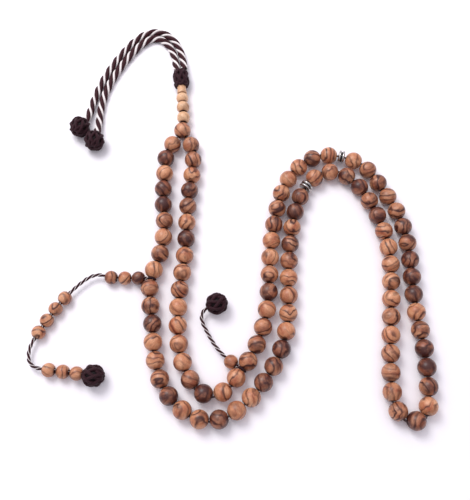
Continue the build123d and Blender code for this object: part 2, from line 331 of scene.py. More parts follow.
def turned_mesh(profile: Sequence[tuple[float, float]], segments: int) -> bpy.types.Mesh:
    """Turn a closed profile about the Z axis, a ring extruded and scaled from point to point.

    Args:
        profile: Height and radius of each point, in metres, once round the section.
        segments: How many sides each ring has.

    Returns:
        The turned mesh, smooth but for its sharp corners.
    """
    bpy.ops.object.select_all(action="DESELECT")
    height, radius = profile[0]
    bpy.ops.mesh.primitive_circle_add(vertices=segments, radius=radius, location=(0, 0, 0))
    bpy.ops.object.mode_set(mode="EDIT")
    bpy.ops.transform.translate(value=(0, 0, height))
    for next_height, next_radius in [*profile[1:], profile[0]]:
        bpy.ops.mesh.extrude_region_move(TRANSFORM_OT_translate={"value": (0, 0, next_height - height)})
        scale = next_radius / radius
        bpy.ops.transform.resize(value=(scale, scale, 1), center_override=(0, 0, next_height))
        height, radius = next_height, next_radius
    bpy.ops.mesh.select_all(action="SELECT")
    bpy.ops.mesh.remove_doubles(threshold=0.002 * MM)
    bpy.ops.mesh.normals_make_consistent(inside=False)
    bpy.ops.object.mode_set(mode="OBJECT")
    bpy.ops.object.shade_smooth_by_angle(angle=SMOOTH_BELOW)
    turned = bpy.context.active_object
    mesh = turned.data
    bpy.data.objects.remove(turned)
    return mesh


def bead_profile(diameter: float, bore: float, steps: int = 20) -> list[tuple[float, float]]:
    """The section of a round bead with softened rims at its bore.

    Args:
        diameter: The bead's diameter.
        bore: Its bore's diameter.
        steps: How many parts the round outside is divided into.

    Returns:
        Height and radius of each point.
    """
    rim = bore / 2 + BEAD_RIM
    half_turn = math.acos(2 * rim / diameter)
    angles = [half_turn * (2 * step / steps - 1) for step in range(steps + 1)]
    outside = [(math.sin(a) * diameter / 2, math.cos(a) * diameter / 2) for a in angles]
    end = outside[-1][0]
    inside = [(end - 0.05 * MM, bore / 2 + 0.08 * MM), (end - 0.22 * MM, bore / 2)]
    return outside + inside + [(-height, radius) for height, radius in reversed(inside)]


@dataclass(frozen=True)
class Bore:
    """Where a bead lies: its middle and the direction of its bore."""

    centre: Vector
    along: Vector

    def placed(self, turn: float = 0.0) -> Matrix:
        """The matrix that puts a bead turned about Z here.

        Args:
            turn: How far the bead is turned about its bore first, in radians.

        Returns:
            The matrix.
        """
        turned = self.along.to_track_quat("Z", "Y") @ Quaternion((0, 0, 1), turn)
        return Matrix.Translation(self.centre) @ turned.to_matrix().to_4x4()


def bores_of(node: str) -> list[Bore]:
    """Read the place of every bead in a CAD node.

    Args:
        node: The node's name.

    Returns:
        One bore for each separate bead.
    """
    work = bmesh.new()
    work.from_mesh(frame["nodes"][node].data)
    bmesh.ops.remove_doubles(work, verts=work.verts, dist=0.001 * MM)
    waiting = set(work.verts)
    found = []
    while waiting:
        island = []
        reached = [waiting.pop()]
        while reached:
            vertex = reached.pop()
            island.append(vertex.co.copy())
            near = {edge.other_vert(vertex) for edge in vertex.link_edges} & waiting
            waiting -= near
            reached += near
        places = np.array(island)
        centre = (places.min(axis=0) + places.max(axis=0)) / 2
        arms = places - centre
        reach = np.linalg.norm(arms, axis=1)
        inner = arms[reach < 0.99 * reach.max()]
        along = np.linalg.eigh(inner.T @ inner)[1][:, -1]
        found.append(Bore(Vector(centre), Vector(along)))
    work.free()
    return found


def middle_of(node: str) -> Vector:
    """The middle of a CAD node's box."""
    low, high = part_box(node)
    return (low + high) / 2


# ---------------------------------------------------------------- finishes


class WoodTone(Enum):
    """How much dark heartwood a bead was cut from: the share of dark wood, least and most."""

    SAPWOOD = (0.0, 0.06)
    TAN = (0.10, 0.26)
    BROWN = (0.34, 0.56)
    HEARTWOOD = (0.74, 0.96)


@dataclass(frozen=True)
class VeinedWood:
    """Veined olive wood, turned, sanded and waxed: tan ground, dark curved veins, satin shine."""

    name: str = "veined_olive_wood"
    ground: str = "#D4916A"
    ground_light: str = "#F2B78E"
    ground_red: str = "#AE5E3E"
    ground_deep: str = "#80402F"
    heart: str = "#3C1517"
    vein: str = "#4A2119"
    ring_spacing: float = 2.5
    vein_strength: float = 1.0
    wander: float = 6.5
    roughness: float = 0.38

    def material(self) -> bpy.types.Material:
        """Make the wood of the block coordinates, tone and painted rim shade that each bead carries.

        Returns:
            The material.
        """
        material, shader = start_material(
            self.name, IOR=1.5, Specular_IOR_Level=0.36, Coat_Weight=0.2, Coat_Roughness=0.28
        )
        tree = material.node_tree
        block = add_node(tree, "Attribute", {"attribute_name": "wood_block"}).outputs["Vector"]
        tone = add_node(tree, "Attribute", {"attribute_name": "wood_tone"}).outputs["Fac"]
        # The painted shade round each bore's rim, laid on by grain_mesh.
        rim = add_node(tree, "Attribute", {"attribute_name": "bore_rim_shade"}).outputs["Fac"]
        grain = add_node(
            tree, "VectorMath", {"operation": "MULTIPLY"}, {0: block, 1: (1.0, 0.3, 1.0)}
        ).outputs[0]
        # Slow wandering of the growth rings, over a few millimetres.
        wander = add_node(tree, "TexNoise", None, {"Vector": grain, "Scale": 0.2, "Detail": 2.0})
        centred = add_node(
            tree, "VectorMath", {"operation": "SUBTRACT"}, {0: wander.outputs["Color"], 1: (0.5, 0.5, 0.5)}
        ).outputs[0]
        bent = add_node(
            tree, "VectorMath", {"operation": "MULTIPLY_ADD"}, {0: centred, 1: (self.wander,) * 3, 2: grain}
        ).outputs[0]
        rings = add_node(
            tree,
            "TexWave",
            {"wave_type": "RINGS", "rings_direction": "Y"},
            {"Vector": bent, "Scale": WAVE_TURN / self.ring_spacing, "Distortion": 1.0,
             "Detail": 2.0, "Detail Scale": 1.2, "Detail Roughness": 0.55},
        ).outputs["Fac"]
        narrow = ramp(tree, rings, (0.0, "#000000"), (1.0, "#F4F4F4"), (0.46, "#0A0A0A"), (0.76, "#9C9C9C"))
        # Veins come and go: strong in some places, missing in others.
        patches = noise(tree, grain, 0.16, 2.0, 0.6)
        patched = remap(tree, patches, (0.38, 0.60), (0.2 * self.vein_strength, self.vein_strength))
        strength = add_node(
            tree, "Math", {"operation": "MULTIPLY_ADD"}, {0: tone, 1: 0.7, 2: patched}
        ).outputs[0]
        veins = add_node(
            tree, "Math", {"operation": "MULTIPLY", "use_clamp": True}, {0: narrow, 1: strength}
        ).outputs[0]
        clouds = noise(tree, bent, 0.28, 3.0, 0.55)
        ground = ramp(tree, clouds, (0.30, self.ground_light), (0.74, self.ground_red), (0.52, self.ground))
        # Browner ground towards the heart of the tree.
        depth = add_node(tree, "Math", {"operation": "MULTIPLY"}, {0: tone, 1: 0.75}).outputs[0]
        deepened = mix_colours(tree, depth, ground, self.ground_deep)
        # Dark heartwood: smudges that grow with the bead's tone until they cover it.
        smudge = noise(tree, grain, 0.24, 4.0, 0.62)
        raised = add_node(
            tree, "Math", {"operation": "MULTIPLY_ADD"}, {0: tone, 1: 0.30, 2: smudge}
        ).outputs[0]
        heart_share = remap(tree, raised, (0.60, 0.84), (0.0, 0.94))
        hearted = mix_colours(tree, heart_share, deepened, self.heart)
        veined = mix_colours(tree, veins, hearted, self.vein)
        # Pores and fibres, 0.15 mm wide and ten times as long.
        stretched = add_node(
            tree, "VectorMath", {"operation": "MULTIPLY"}, {0: block, 1: (6.0, 0.6, 6.0)}
        ).outputs[0]
        fibres = noise(tree, stretched, 1.0, 3.0, 0.6)
        fibre_shade = ramp(tree, fibres, (0.30, "#B9AFA6"), (0.62, "#FFFFFF"))
        fibred = mix_colours(tree, 0.75, veined, fibre_shade, "MULTIPLY")
        # Painted shade: the wood darkens to the vein colour round each bore's rim, where beads touch.
        rim_shaded = mix_colours(tree, rim, fibred, self.vein)
        rough = remap(tree, fibres, (0.0, 1.0), (self.roughness + 0.12, self.roughness - 0.06))
        tree.links.new(rough, shader.inputs["Roughness"])
        finish_surface(tree, shader, rim_shaded, fibres, 0.25, 0.05 * MM)
        return material


@dataclass(frozen=True)
class Yarn:
    """Dyed cord, plied and softly shiny: fine diagonal plies, with painted shade darkening the grooves
    between them.
    """

    name: str
    colour: str
    # The colour of the painted shade in the grooves between the plies.
    shade: str
    plies: int
    sheen: float
    roughness: float = 0.62

    def material(self) -> bpy.types.Material:
        """Make the yarn from the lay map that every strand carries.

        Returns:
            The material.
        """
        material, shader = start_material(
            self.name, Roughness=self.roughness, Specular_IOR_Level=0.2, Sheen_Weight=self.sheen
        )
        tree = material.node_tree
        lay = add_node(tree, "UVMap", {"uv_map": "lay"}).outputs["UV"]
        plies = add_node(
            tree,
            "TexWave",
            {"wave_type": "BANDS", "bands_direction": "X"},
            {"Vector": lay, "Scale": self.plies * WAVE_TURN, "Distortion": 0.0},
        ).outputs["Fac"]
        # Fuzz and uneven dye, about 0.2 mm across.
        fuzz = noise(tree, add_node(tree, "TexCoord").outputs["Object"], 5200.0)
        height = add_node(
            tree, "Math", {"operation": "MULTIPLY_ADD"}, {0: fuzz, 1: 0.6, 2: plies}
        ).outputs[0]
        # Painted shade: the grooves between the plies darken towards the shade colour.
        mixed = ramp(tree, height, (0.25, self.shade), (1.0, self.colour))
        finish_surface(tree, shader, mixed, height, 0.7, 0.09 * MM)
        return material


@dataclass(frozen=True)
class WaxedThread:
    """Waxed polyester stringing thread: dark, tight and faintly glossy."""

    name: str = "waxed_thread"
    colour: str = "#2A1719"
    worn: str = "#4A2D2B"

    def material(self) -> bpy.types.Material:
        """Make the thread's finish from its place alone.

        Returns:
            The material.
        """
        material, shader = start_material(self.name, Roughness=0.5, Sheen_Weight=0.15)
        tree = material.node_tree
        place = add_node(tree, "TexCoord").outputs["Object"]
        fibres = noise(tree, place, 3800.0, 3.0)
        colour = ramp(tree, fibres, (0.35, self.colour), (0.7, self.worn))
        finish_surface(tree, shader, colour, fibres, 0.5, 0.05 * MM)
        return material


@dataclass(frozen=True)
class PlatedMetal:
    """Nickel-plated brass, tumbled: bright rims, fine rub marks and tarnish where nothing rubs."""

    name: str
    bright: str
    dull: str
    roughness: float

    def material(self) -> bpy.types.Material:
        """Make the plating.

        Returns:
            The material.
        """
        material, shader = start_material(self.name, Metallic=1.0)
        tree = material.node_tree
        place = add_node(tree, "TexCoord").outputs["Object"]
        rubs = noise(tree, place, 2400.0, 4.0, 0.65)
        colour = ramp(tree, rubs, (0.3, self.dull), (0.55, self.bright))
        rough = remap(tree, rubs, (0.0, 1.0), (self.roughness + 0.12, self.roughness - 0.05))
        tree.links.new(rough, shader.inputs["Roughness"])
        finish_surface(tree, shader, colour, rubs, 0.2, 0.03 * MM)
        return material


# ---------------------------------------------------------------- cords and knots


def spline_line(route: Sequence[tuple[float, float, float]]) -> list[Vector]:
    """Read the smooth line of a cord from the NURBS spline of its route.

    Args:
        route: The spline's control points, in metres.

    Returns:
        Points close together along the line.
    """
    curve = bpy.data.curves.new("cord_line", "CURVE")
    curve.dimensions = "3D"
    spline = curve.splines.new("NURBS")
    spline.points.add(len(route) - 1)
    for point, place in zip(spline.points, route):
        point.co = (*place, 1.0)
    spline.order_u = 3
    spline.use_endpoint_u = True
    spline.resolution_u = 20
    guide = bpy.data.objects.new("cord_line", curve)
    bpy.context.scene.collection.objects.link(guide)
    mesh = bpy.data.meshes.new_from_object(guide)
    line = [vertex.co.copy() for vertex in mesh.vertices]
    bpy.data.objects.remove(guide)
    bpy.data.meshes.remove(mesh)
    return line


def socketed(route: Sequence[tuple[float, float, float]]) -> list[tuple[float, float, float]]:
    """Shorten a route, so that it ends in its knot's socket and not in the knot's middle.

    Args:
        route: The route's corners.

    Returns:
        The same corners, the last one moved back.
    """
    end = Vector(route[-1])
    back = (Vector(route[-2]) - end).normalized()
    return [*route[:-1], tuple(end + back * KNOT_SOCKET)]


def side_vectors(line: Sequence[Vector]) -> list[Vector]:
    """Carry one sideways direction along a line without twisting it.

    Args:
        line: The line's points.

    Returns:
        A unit vector square to the line at each point.
    """
    tangents = [(after - before).normalized() for before, after in zip(line, line[1:])]
    tangents.append(tangents[-1])
    side = tangents[0].orthogonal().normalized()
    sides = []
    for before, tangent in zip([tangents[0], *tangents], tangents):
        side = before.rotation_difference(tangent) @ side
        side = (side - tangent * side.dot(tangent)).normalized()
        sides.append(side)
    return sides


def run_lengths(line: Sequence[Vector]) -> list[float]:
    """How far along a line each of its points is."""
    lengths = [0.0]
    for before, after in zip(line, line[1:]):
        lengths.append(lengths[-1] + (after - before).length)
    return lengths


@dataclass(frozen=True)
class Strand:
    """One strand of yarn: its radius, its number of sides and how soon its plies go once round."""

    radius: float
    sides: int
    ply_lay: float
    slot: int = 0

    def add_to(
        self, work: bmesh.types.BMesh, line: Sequence[Vector], sides: Sequence[Vector], closed: bool
    ) -> None:
        """Lay the strand along a line, as a closed tube with a lay map on it.

        Args:
            work: The mesh that the strand is added to.
            line: The strand's own centre line.
            sides: A direction square to the line at each point.
            closed: Whether the line's end joins its start.
        """
        lay = work.loops.layers.uv.get("lay") or work.loops.layers.uv.new("lay")
        count = len(line)
        rings = []
        for index, (point, side) in enumerate(zip(line, sides)):
            after = line[(index + 1) % count] if closed else line[min(index + 1, count - 1)]
            before = line[index - 1] if closed or index else line[0]
            up = (after - before).normalized().cross(side)
            ring = []
            for step in range(self.sides):
                angle = math.tau * step / self.sides
                offset = side * math.cos(angle) + up * math.sin(angle)
                ring.append(work.verts.new(point + offset * self.radius))
            rings.append(ring)
        lengths = run_lengths([*line, line[0]])
        for index in range(count if closed else count - 1):
            here, following = rings[index], rings[(index + 1) % count]
            for step in range(self.sides):
                beside = (step + 1) % self.sides
                face = work.faces.new((here[step], here[beside], following[beside], following[step]))
                face.smooth = True
                face.material_index = self.slot
                corners = ((step, index), (step + 1, index), (step + 1, index + 1), (step, index + 1))
                for loop, (around, along) in zip(face.loops, corners):
                    run = lengths[along] / self.ply_lay
                    loop[lay].uv = (around / self.sides + run, run)
        if not closed:
            for ring, turned in ((rings[0], True), (rings[-1], False)):
                cap = work.faces.new(ring[::-1] if turned else ring)
                cap.material_index = self.slot


@dataclass(frozen=True)
class TwistedCord:
    """A laid cord: thick dark strands with a thin white strand in each groove between them."""

    diameter: float
    lay: float
    white_share: float
    strands: int = 2
    dark_share: float = 0.55
    dark_reach: float = 0.45
    white_reach: float = 0.64

    def mesh(self, line: Sequence[Vector]) -> bpy.types.Mesh:
        """Twist the strands along a centre line, to the left.

        Args:
            line: The cord's centre line.

        Returns:
            The cord's mesh, with the dark yarn in slot 0 and the white one in slot 1.
        """
        radius = self.diameter / 2
        dark = Strand(self.dark_share * radius, 16, 0.9 * self.diameter, 0)
        white = Strand(self.white_share * radius, 10, 0.5 * self.diameter, 1)
        kinds = (
            (dark, self.dark_reach * radius, 0.0),
            (white, self.white_reach * radius, math.pi / self.strands),
        )
        sides = side_vectors(line)
        lengths = run_lengths(line)
        work = bmesh.new()
        for strand, distance, phase in kinds:
            for number in range(self.strands):
                start = phase + math.tau * number / self.strands
                own_line = []
                for index, point in enumerate(line):
                    ahead = line[min(index + 1, len(line) - 1)] - line[max(index - 1, 0)]
                    up = ahead.normalized().cross(sides[index])
                    angle = start - math.tau * lengths[index] / self.lay
                    own_line.append(
                        point + (sides[index] * math.cos(angle) + up * math.sin(angle)) * distance
                    )
                strand.add_to(work, own_line, side_vectors(own_line), closed=False)
        mesh = bpy.data.meshes.new("twisted_cord")
        work.to_mesh(mesh)
        work.free()
        return mesh


@dataclass(frozen=True)
class InterlacedKnot:
    """A knot of one closed strand that goes over and under itself all round a core.

    The strand goes leads times round the axis while it swings bights times from end to end.
    """

    radius: float
    half_length: float
    end_radius: float
    strand: Strand
    leads: int
    bights: int
    reach: float = 1.2

    def swell(self, height: float) -> float:
        """The radius of the knot's middle surface at a height above its middle."""
        share = height / self.half_length
        return self.end_radius + (self.radius - self.end_radius) * math.sqrt(max(0.0, 1 - share * share))

    def mesh(self, steps_per_lead: int = 44) -> bpy.types.Mesh:
        """Tie the knot about the Z axis, with a plain core that fills its middle.

        Args:
            steps_per_lead: How many points the strand has in each turn round the axis.

        Returns:
            The knot's mesh.
        """
        line = []
        outward = []
        count = steps_per_lead * self.leads
        for index in range(count):
            turn = math.tau * self.leads * index / count
            swing = self.bights * turn / self.leads
            slope = self.reach * math.cos(swing)
            height = self.half_length * math.sin(slope)
            weave = 0.42 * self.strand.radius * math.sin((self.leads - 1) * swing)
            width = self.swell(height)
            flat = Vector((math.cos(turn), math.sin(turn), 0))
            normal = (flat * math.cos(slope) + Vector((0, 0, math.sin(slope)))).normalized()
            line.append(flat * width + Vector((0, 0, height)) + normal * weave)
            outward.append(normal)
        sides = []
        for index, normal in enumerate(outward):
            tangent = (line[(index + 1) % count] - line[index - 1]).normalized()
            sides.append((normal - tangent * normal.dot(tangent)).normalized())
        work = bmesh.new()
        self.strand.add_to(work, line, sides, closed=True)
        core = bmesh.ops.create_uvsphere(work, u_segments=32, v_segments=18, radius=1.0)["verts"]
        for vertex in core:
            height = vertex.co.z * self.half_length
            width = max(0.0, self.swell(height) - 0.55 * self.strand.radius)
            share = math.hypot(vertex.co.x, vertex.co.y)
            flat = Vector((vertex.co.x, vertex.co.y, 0))
            vertex.co = flat * width / max(share, 0.3) + Vector((0, 0, height))
        for face in {face for vertex in core for face in vertex.link_faces}:
            face.smooth = True
        mesh = bpy.data.meshes.new("interlaced_knot")
        bmesh.ops.recalc_face_normals(work, faces=work.faces)
        work.to_mesh(mesh)
        work.free()
        return mesh


# ---------------------------------------------------------------- sub-assemblies


@dataclass
class Studio:
    """A white table, a soft key light from the upper left and the camera above the near edge."""

    target: tuple[float, float, float] = (-0.0215, -0.0090, 0.0040)
    distance: float = 0.2964
    tilt: float = math.radians(20.9)
    lens: float = 47.6
    table_size: float = 3.0
    sky: str = "#F6F2FC"
    sky_strength: float = 1.12
    horizon_strength: float = 0.24
    sky_direction: tuple[float, float, float] = (-0.12, 0.32, 0.94)
    key_energy: float = 3.3
    key_size: float = 0.42
    key_place: tuple[float, float, float] = (-0.30, 0.32, 0.62)

    def build_camera(self) -> None:
        """Put the camera above the table, a little towards its near edge."""
        away = Vector((0, -math.sin(self.tilt), math.cos(self.tilt)))
        data = bpy.data.cameras.new("camera")
        data.lens = self.lens
        data.sensor_width = 36.0
        data.clip_start = 0.005
        camera = bpy.data.objects.new("camera", data)
        camera.location = Vector(self.target) + away * self.distance
        camera.rotation_euler = (self.tilt, 0, 0)
        bpy.context.scene.collection.objects.link(camera)
        bpy.context.scene.camera = camera

    def build_light(self) -> None:
        """Light the table by a sky that is brightest overhead, and one large soft lamp."""
        world = bpy.data.worlds.new("studio")
        world.use_nodes = True
        background = world.node_tree.nodes["Background"]
        background.inputs["Color"].default_value = linear_colour(self.sky)
        tree = world.node_tree
        direction = add_node(tree, "TexCoord").outputs["Generated"]
        height = add_node(
            tree, "VectorMath", {"operation": "DOT_PRODUCT"}, {0: direction, 1: self.sky_direction}
        ).outputs["Value"]
        strength = remap(tree, height, (0.0, 0.9), (self.horizon_strength, self.sky_strength))
        tree.links.new(strength, background.inputs["Strength"])
        bpy.context.scene.world = world
        lamp = bpy.data.lights.new("soft_key", "AREA")
        lamp.shape = "DISK"
        lamp.size = self.key_size
        lamp.energy = self.key_energy
        key = bpy.data.objects.new("soft_key", lamp)
        key.location = self.key_place
        toward = Vector(self.target) - key.location
        key.rotation_euler = toward.to_track_quat("-Z", "Y").to_euler()
        bpy.context.scene.collection.objects.link(key)

    def build_table(self) -> None:
        """Lay a plain white table top under the beads."""
        bpy.ops.object.select_all(action="DESELECT")
        bpy.ops.mesh.primitive_plane_add(size=self.table_size, location=(0, 0, 0))
        table = bpy.context.active_object
        table.name = "table"
        material, shader = start_material("white_card", Roughness=0.9)
        shader.inputs["Base Color"].default_value = linear_colour("#FAF8FB")
        table.data.materials.append(material)

    def build(self) -> None:
        """Build the camera, the light and the table."""
        self.build_camera()
        self.build_light()
        self.build_table()
        bpy.context.scene.view_settings.view_transform = "Standard"


@dataclass
class Finishes:
    """The materials, each made once and shared by its pieces."""

    def __post_init__(self) -> None:
        """Make every material."""
        self.wood = VeinedWood().material()
        self.pale_wood = VeinedWood(
            name="pale_olive_sapwood",
            ground="#ECBB90",
            ground_light="#F5CDA6",
            ground_red="#E0AC82",
            ground_deep="#C48A62",
            heart="#8A573D",
            vein="#6B3F2E",
            ring_spacing=2.6,
            vein_strength=0.3,
        ).material()
        self.dark_yarn = Yarn("dark_rayon_yarn", "#431820", "#0E0305", plies=4, sheen=0.02).material()
        self.knot_yarn = Yarn("dark_braided_cord", "#3D1C25", "#070203", plies=6, sheen=0.02).material()
        self.white_yarn = Yarn("white_rayon_yarn", "#FFFBF8", "#D6C9C6", plies=3, sheen=0.1).material()
        self.thread = WaxedThread().material()
        self.plating = PlatedMetal("nickel_plating", "#C4C1BE", "#8A8684", 0.22).material()
        self.tarnish = PlatedMetal("tarnished_nickel", "#3E3A38", "#1C1918", 0.5).material()


def grain_mesh(mesh: bpy.types.Mesh, bore: float, seed: int, tone: float) -> None:
    """Give each point of a turned piece its place in the wood block that the piece was cut from.

    Args:
        mesh: The piece's mesh, about its own middle with its bore along Z.
        bore: The bore's diameter, round whose rim a painted shade is laid.
        seed: What the cut's direction and place are drawn from.
        tone: The share of dark heartwood.
    """
    draw = random.Random(seed)
    turn = Quaternion((draw.gauss(0, 1), draw.gauss(0, 1), draw.gauss(0, 1), draw.gauss(0, 1)))
    turn.normalize()
    start = Vector((draw.uniform(-14, 14), draw.uniform(-90, 90), draw.uniform(-14, 14)))
    blocks = []
    rim_shades = []
    rim_radius = bore / 2 + BEAD_RIM
    for vertex in mesh.vertices:
        blocks.extend(turn @ (vertex.co / MM) + start)
        # Painted shade round the bore: darkest at its rim and fading out beyond it.
        from_axis = math.hypot(vertex.co.x, vertex.co.y)
        share = 1.0 - (from_axis - rim_radius) / RIM_SHADE_FADE
        rim_shades.append(0.85 * min(1.0, max(0.0, share)) ** 1.5)
    mesh.attributes.new("wood_block", "FLOAT_VECTOR", "POINT").data.foreach_set("vector", blocks)
    mesh.attributes.new("wood_tone", "FLOAT", "POINT").data.foreach_set("value", [tone] * len(rim_shades))
    mesh.attributes.new("bore_rim_shade", "FLOAT", "POINT").data.foreach_set("value", rim_shades)


@dataclass
class WoodBead:
    """A kind of wooden bead, turned once and then copied to each place."""

    diameter: float
    bore: float
    finish: bpy.types.Material
    segments: int = 48

    def __post_init__(self) -> None:
        """Turn the bead that the others are copied from."""
        self.pattern = turned_mesh(bead_profile(self.diameter, self.bore), self.segments)

    def add(
        self, name: str, node: str, place: Bore, seed: int, tone: WoodTone, slot: str
    ) -> bpy.types.Object:
        """Put one bead on its thread.

        Args:
            name: The piece's name.
            node: The CAD node that it stands for, or is one bead of.
            place: Where it lies.
            seed: What its grain and turn are drawn from.
            tone: How dark its wood is.
            slot: The record's material slot; not used.

        Returns:
            The bead.
        """
        draw = random.Random(TURN_SEEDS + seed)
        mesh = self.pattern.copy()
        grain_mesh(mesh, self.bore, seed, draw.uniform(*tone.value))
        mesh.transform(place.placed(draw.uniform(0, math.tau)))
        piece = link_piece(name, mesh, self.finish)
        return settle(piece, node)


@dataclass
class MainStrand:
    """The hundred beads of the loop, the crown bead where it closes, and the thread inside."""

    finishes: Finishes
    bead_diameter: float = 8.0 * MM
    bore: float = 2.0 * MM
    neck_bore_radius: float = 1.4 * MM
    side_bore_radius: float = 1.2 * MM
    crown_tone: float = 0.3
    brown_share: float = 0.42
    heartwood: tuple[int, ...] = (
        2, 4, 5, 12, 16, 19, 22, 24, 32, 37, 39, 51, 54, 55, 58, 59, 60, 62, 78, 85, 94, 97,
    )
    sapwood: tuple[int, ...] = (3, 9, 13, 25, 28, 41, 43, 44, 46, 52, 57, 75, 76, 84, 89, 90, 98)

    def tone_of(self, number: int) -> WoodTone:
        """Choose a bead's tone: dark and pale ones listed, the rest tan or brown by lot."""
        if number in self.heartwood:
            return WoodTone.HEARTWOOD
        if number in self.sapwood:
            return WoodTone.SAPWOOD
        draw = random.Random(7 * number + 3).random()
        return WoodTone.BROWN if draw < self.brown_share else WoodTone.TAN

    def places(self) -> dict[int, tuple[str, Bore]]:
        """Find the CAD node and the place of each bead, in their order on the thread.

        Returns:
            The node and the place, by the bead's number from the crown bead.
        """
        nodes = sorted(
            (name for name in frame["nodes"] if name.startswith("bead")),
            key=lambda name: int(name.split("_")[1]),
        )
        found: dict[int, tuple[str, Bore]] = {}
        here = middle_of("crown_bead")
        for node in nodes:
            waiting = bores_of(node)
            while waiting:
                nearest = min(waiting, key=lambda bore: (bore.centre - here).length)
                waiting.remove(nearest)
                found[len(found) + 1] = (node, nearest)
                here = nearest.centre
        return found

    def build_crown(self, first: Vector, last: Vector) -> None:
        """Make the crown bead, where the loop's two sides and the neck meet in three bores.

        Args:
            first: The middle of the first bead.
            last: The middle of the last bead.
        """
        centre = middle_of("crown_bead")
        up = (middle_of("neck_bead_1") - centre).normalized()
        bpy.ops.object.select_all(action="DESELECT")
        bpy.ops.mesh.primitive_uv_sphere_add(
            segments=64, ring_count=40, radius=self.bead_diameter / 2, location=(0, 0, 0)
        )
        crown = bpy.context.active_object
        turned = up.to_track_quat("Z", "Y")
        to_local = turned.inverted()
        bores = (
            (Vector((0, 0, 1)), self.neck_bore_radius),
            (to_local @ (first - centre).normalized(), self.side_bore_radius),
            (to_local @ (last - centre).normalized(), self.side_bore_radius),
        )
        for direction, radius in bores:
            bpy.ops.mesh.primitive_cylinder_add(
                vertices=32,
                radius=radius,
                depth=self.bead_diameter,
                location=direction * self.bead_diameter / 2,
                rotation=direction.to_track_quat("Z", "Y").to_euler(),
            )
            drill = bpy.context.active_object
            bpy.ops.object.select_all(action="DESELECT")
            crown.select_set(True)
            bpy.context.view_layer.objects.active = crown
            cut = crown.modifiers.new("bore", "BOOLEAN")
            cut.operation = "DIFFERENCE"
            cut.solver = "EXACT"
            cut.object = drill
            bpy.ops.object.modifier_apply(modifier=cut.name)
            bpy.data.objects.remove(drill)
        bpy.ops.object.shade_smooth_by_angle(angle=math.radians(40))
        mesh = crown.data
        bpy.data.objects.remove(crown)
        grain_mesh(mesh, 2 * self.side_bore_radius, CROWN_SEED, self.crown_tone)
        mesh.transform(Matrix.Translation(centre) @ turned.to_matrix().to_4x4())
        settle(link_piece("crown_bead_turned", mesh, self.finishes.wood), "crown_bead")

    def build_thread(self) -> None:
        """Finish the thread, which keeps its CAD shape."""
        thread = frame["nodes"]["main_thread"]
        thread.data.materials.clear()
        thread.data.materials.append(self.finishes.thread)
        LOG.info("main_thread: the CAD shape, finished as waxed thread")

    def build(self) -> None:
        """String the beads."""
        kind = WoodBead(self.bead_diameter, self.bore, self.finishes.wood)
        places = self.places()
        for number, (node, place) in places.items():
            kind.add(f"strand_bead_{number:03d}", node, place, number, self.tone_of(number), "veined_wood")
        self.build_crown(places[1][1].centre, places[len(places)][1].centre)
        self.build_thread()


@dataclass
class Neck:
    """The small pale beads over the crown, the collar and the bound knot above it."""

    finishes: Finishes
    diameters: tuple[float, float, float] = (6.2 * MM, 6.2 * MM, 5.8 * MM)
    bore: float = 2.8 * MM
    collar_tone: float = 0.05

    def build_collar(self, direction: Vector) -> None:
        """Turn the slim collar that carries the knot.

        Args:
            direction: Up the neck.
        """
        origin = middle_of("neck_bead_3")
        points = frame["nodes"]["neck_collar"].data.vertices
        reach = [(vertex.co - origin).dot(direction) for vertex in points]
        foot, head = min(reach), max(reach)
        profile = [
            (foot, 1.40 * MM), (foot, 2.05 * MM), (foot + 0.10 * MM, 2.25 * MM),
            (foot + 0.35 * MM, 2.36 * MM), (foot + 1.6 * MM, 2.20 * MM), (foot + 3.2 * MM, 2.14 * MM),
            (head - 0.3 * MM, 2.16 * MM), (head, 2.05 * MM), (head, 1.40 * MM),
        ]
        mesh = turned_mesh(profile, 48)
        grain_mesh(mesh, self.bore, COLLAR_SEED, self.collar_tone)
        mesh.transform(Bore(origin, direction).placed())
        settle(link_piece("neck_collar_turned", mesh, self.finishes.pale_wood), "neck_collar")

    def build_knot(self, direction: Vector) -> None:
        """Bind the head knot round the top of the collar.

        Args:
            direction: Up the neck.
        """
        knot = InterlacedKnot(
            radius=3.15 * MM,
            half_length=4.1 * MM,
            end_radius=2.2 * MM,
            strand=Strand(0.76 * MM, 12, 1.6 * MM),
            leads=5,
            bights=7,
            reach=1.35,
        )
        mesh = knot.mesh()
        mesh.transform(Bore(middle_of("head_knot"), direction).placed())
        settle(link_piece("head_knot_bound", mesh, self.finishes.knot_yarn), "head_knot")

    def build(self) -> None:
        """Build the neck from the crown up."""
        for number, diameter in enumerate(self.diameters, start=1):
            node = f"neck_bead_{number}"
            kind = WoodBead(diameter, self.bore, self.finishes.pale_wood)
            tone = WoodTone.TAN if number == 2 else WoodTone.SAPWOOD
            kind.add(f"{node}_turned", node, bores_of(node)[0], NECK_SEEDS + number, tone, "pale_wood")
        direction = (middle_of("head_knot") - middle_of("neck_bead_3")).normalized()
        self.build_collar(direction)
        self.build_knot(direction)


def ball_knot(node: str, toward: Vector, finishes: Finishes, radius: float) -> bpy.types.Object:
    """Tie a ball knot in place of a CAD knot.

    Args:
        node: The CAD knot.
        toward: The direction in which its cord leaves it.
        finishes: The materials.
        radius: The knot's outer radius.

    Returns:
        The knot.
    """
    strand = Strand(0.145 * radius, 12, 0.36 * radius)
    middle = radius - 1.45 * strand.radius
    knot = InterlacedKnot(
        radius=middle, half_length=middle, end_radius=0.0, strand=strand, leads=5, bights=7, reach=1.32
    )
    mesh = knot.mesh()
    mesh.transform(Bore(middle_of(node), toward).placed())
    return settle(link_piece(f"{node}_tied", mesh, finishes.knot_yarn), node)


